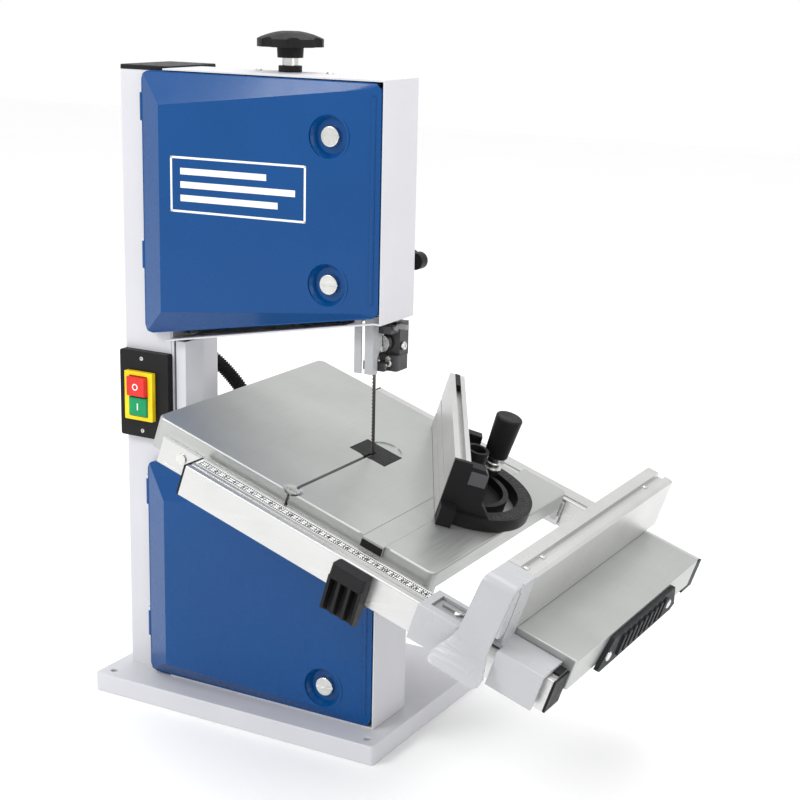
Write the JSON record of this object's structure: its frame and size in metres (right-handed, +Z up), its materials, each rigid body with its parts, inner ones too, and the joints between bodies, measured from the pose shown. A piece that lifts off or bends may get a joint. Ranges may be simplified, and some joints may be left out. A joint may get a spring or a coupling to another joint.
{
  "type": "bench band saw",
  "caption": "Bench band saw with closed column, hinged wheel doors, tilting table, sliding extension table, rip fence, mitre gauge and adjustable blade guide.",
  "frame": {"origin": "centre of the four bolt holes on the underside of the base", "axes": "+Z up, +X to the right seen from the doors, -Y the side of the doors"},
  "size_m": [0.569, 0.3833, 0.6668],
  "materials": {
    "frame_paint": "satin light grey powder coat",
    "door_paint": "gloss blue enamel",
    "black_plastic": "matte black moulded plastic",
    "cast_aluminium": "fine-ground cast aluminium",
    "extruded_aluminium": "satin anodised extrusion",
    "plain_steel": "zinc plated",
    "cast_wheel": "grey casting",
    "tyre_rubber": "black rubber",
    "blade_steel": "blued spring steel",
    "motor_paint": "dark grey paint",
    "red_plastic": "red moulded plastic",
    "green_plastic": "green moulded plastic",
    "yellow_plastic": "yellow moulded plastic",
    "ruler_print": "printed scale strip"
  },
  "bodies": {
    "frame": {"base_plate": "frame_paint", "column": "frame_paint", "column_cap": "black_plastic", "blade_channel": "frame_paint", "upper_housing": "frame_paint", "lower_housing": "frame_paint", "hinge_pins": "frame_paint", "blade": "blade_steel", "motor": "motor_paint", "motor_fan_cover": "black_plastic", "motor_lead": "black_plastic", "inner_brackets": "cast_aluminium", "tension_collar": "black_plastic", "lower_bearing": "plain_steel", "trunnion_base": "frame_paint", "switch_box": "black_plastic", "switch_frame": "yellow_plastic"},
    "upper_door": {"upper_door": "door_paint"},
    "lower_door": {"lower_door": "door_paint"},
    "upper_latch": {"upper_door_latch_1": "plain_steel"},
    "middle_latch": {"upper_door_latch_2": "plain_steel"},
    "lower_latch": {"lower_door_latch_1": "plain_steel"},
    "axle": {"axle_block": "cast_aluminium", "tension_spring": "plain_steel"},
    "upper_wheel": {"upper_wheel": "cast_wheel", "upper_tyre": "tyre_rubber"},
    "lower_wheel": {"lower_wheel": "cast_wheel", "lower_tyre": "tyre_rubber", "motor_shaft": "plain_steel"},
    "tension_knob": {"tension_knob": "black_plastic", "tension_screw": "plain_steel"},
    "tracking_knob": {"tracking_knob": "black_plastic"},
    "guide": {"guide_post": "plain_steel", "blade_guard": "plain_steel", "guide_bracket": "cast_aluminium", "guide_pins": "plain_steel"},
    "guide_bearing": {"guide_bearing": "plain_steel"},
    "post_knob": {"post_knob": "black_plastic"},
    "table": {"table": "cast_aluminium", "table_insert": "black_plastic", "table_screws": "plain_steel", "rail_brackets": "extruded_aluminium", "tilt_segment": "cast_aluminium"},
    "tilt_knob": {"tilt_knob": "black_plastic"},
    "extension": {"extension_table": "cast_aluminium", "front_rail": "extruded_aluminium", "rear_rail": "extruded_aluminium", "rail_caps": "black_plastic", "ruler": "ruler_print", "extension_grip": "black_plastic"},
    "fence": {"rip_fence": "extruded_aluminium", "fence_carriage": "cast_aluminium"},
    "fence_lever": {"fence_lever": "black_plastic"},
    "push_stick_holder": {"push_stick_holder": "black_plastic"},
    "mitre_bar": {"mitre_bar": "plain_steel"},
    "mitre_head": {"mitre_head": "cast_aluminium", "mitre_fence": "extruded_aluminium"},
    "mitre_handle": {"mitre_handle": "black_plastic"},
    "on_button": {"on_button": "green_plastic"},
    "off_button": {"off_button": "red_plastic"}
  },
  "joints": [
    {"name": "upper_door_hinge", "type": "hinge", "parent": "frame", "child": "upper_door", "pos_m": [-0.1206, -0.081, 0.5], "axis": [0, 0, -1], "range_deg": [0, 110]},
    {"name": "lower_door_hinge", "type": "hinge", "parent": "frame", "child": "lower_door", "pos_m": [-0.1206, -0.081, 0.14], "axis": [0, 0, -1], "range_deg": [0, 110]},
    {"name": "upper_latch_turn", "type": "hinge", "parent": "upper_door", "child": "upper_latch", "pos_m": [0.092, -0.09099, 0.5785], "axis": [0, -1, 0], "range_deg": [0, 90]},
    {"name": "middle_latch_turn", "type": "hinge", "parent": "upper_door", "child": "middle_latch", "pos_m": [0.092, -0.09099, 0.445], "axis": [0, -1, 0], "range_deg": [0, 90]},
    {"name": "lower_latch_turn", "type": "hinge", "parent": "lower_door", "child": "lower_latch", "pos_m": [0.092, -0.09099, 0.0515], "axis": [0, -1, 0], "range_deg": [0, 90]},
    {"name": "axle_slide", "type": "slide", "parent": "frame", "child": "axle", "axis": [0, 0, 1], "range_m": [-0.006, 0], "deforming": ["tension_spring"]},
    {"name": "tension_knob_turn", "type": "hinge", "parent": "frame", "child": "tension_knob", "pos_m": [0.0167, -0.0365, 0.66], "axis": [0, 0, 1], "range_deg": [-1441, 1]},
    {"name": "upper_wheel_spin", "type": "hinge", "parent": "axle", "child": "upper_wheel", "pos_m": [0.0167, -0.0555, 0.514], "axis": [0, 1, 0], "continuous": true},
    {"name": "lower_wheel_spin", "type": "hinge", "parent": "frame", "child": "lower_wheel", "pos_m": [0.0167, -0.0555, 0.132], "axis": [0, 1, 0], "continuous": true},
    {"name": "tracking_knob_turn", "type": "hinge", "parent": "axle", "child": "tracking_knob", "pos_m": [0.0167, -0.02, 0.514], "axis": [0, 1, 0], "range_deg": [-180, 180]},
    {"name": "guide_height", "type": "slide", "parent": "frame", "child": "guide", "axis": [0, 0, 1], "range_m": [-0.064, 0]},
    {"name": "guide_bearing_spin", "type": "hinge", "parent": "guide", "child": "guide_bearing", "pos_m": [0.12845, -0.05, 0.389], "axis": [0, 1, 0], "continuous": true},
    {"name": "post_knob_turn", "type": "hinge", "parent": "frame", "child": "post_knob", "pos_m": [0.1315, -0.015, 0.462], "axis": [0, 1, 0], "range_deg": [-180, 0]},
    {"name": "table_tilt", "type": "hinge", "parent": "frame", "child": "table", "pos_m": [0.12295, -0.0555, 0.283], "axis": [0, 1, 0], "range_deg": [-18.6, 26]},
    {"name": "tilt_knob_turn", "type": "hinge", "parent": "frame", "child": "tilt_knob", "pos_m": [0.12295, -0.005, 0.241], "axis": [0, 1, 0], "range_deg": [-180, 0]},
    {"name": "extension_slide", "type": "slide", "parent": "table", "child": "extension", "axis": [0.9478, 0, -0.319], "range_m": [-0.061, 0.04]},
    {"name": "fence_slide", "type": "slide", "parent": "table", "child": "fence", "axis": [0.9478, 0, -0.319], "range_m": [-0.036, 0]},
    {"name": "fence_lever_lift", "type": "hinge", "parent": "fence", "child": "fence_lever", "pos_m": [0.34882, -0.2307, 0.25816], "axis": [-0.9478, 0, 0.319], "range_deg": [0, 25]},
    {"name": "push_stick_holder_slide", "type": "slide", "parent": "extension", "child": "push_stick_holder", "axis": [0.9478, 0, -0.319], "range_m": [-0.12, 0.006]},
    {"name": "mitre_slide", "type": "slide", "parent": "table", "child": "mitre_bar", "axis": [0, -1, 0], "range_m": [-0.02, 0.11]},
    {"name": "mitre_swivel", "type": "hinge", "parent": "mitre_bar", "child": "mitre_head", "pos_m": [0.21032, -0.0412, 0.25887], "axis": [0.319, 0, 0.9478], "range_deg": [0, 30]},
    {"name": "mitre_handle_turn", "type": "hinge", "parent": "mitre_head", "child": "mitre_handle", "pos_m": [0.21789, 0.00661, 0.27215], "axis": [0.319, 0, 0.9478], "range_deg": [-180, 180]},
    {"name": "on_button_press", "type": "slide", "parent": "frame", "child": "on_button", "axis": [0, 1, 0], "range_m": [0, 0.003], "stiffness_N_per_m": 300},
    {"name": "off_button_press", "type": "slide", "parent": "frame", "child": "off_button", "axis": [0, 1, 0], "range_m": [0, 0.003], "stiffness_N_per_m": 300}
  ],
  "couplings": [
    {"joint": "tension_knob_turn", "follows": "axle_slide", "rad_per_m": 4188.8},
    {"joint": "upper_wheel_spin", "follows": "lower_wheel_spin", "ratio": 1}
  ]
}
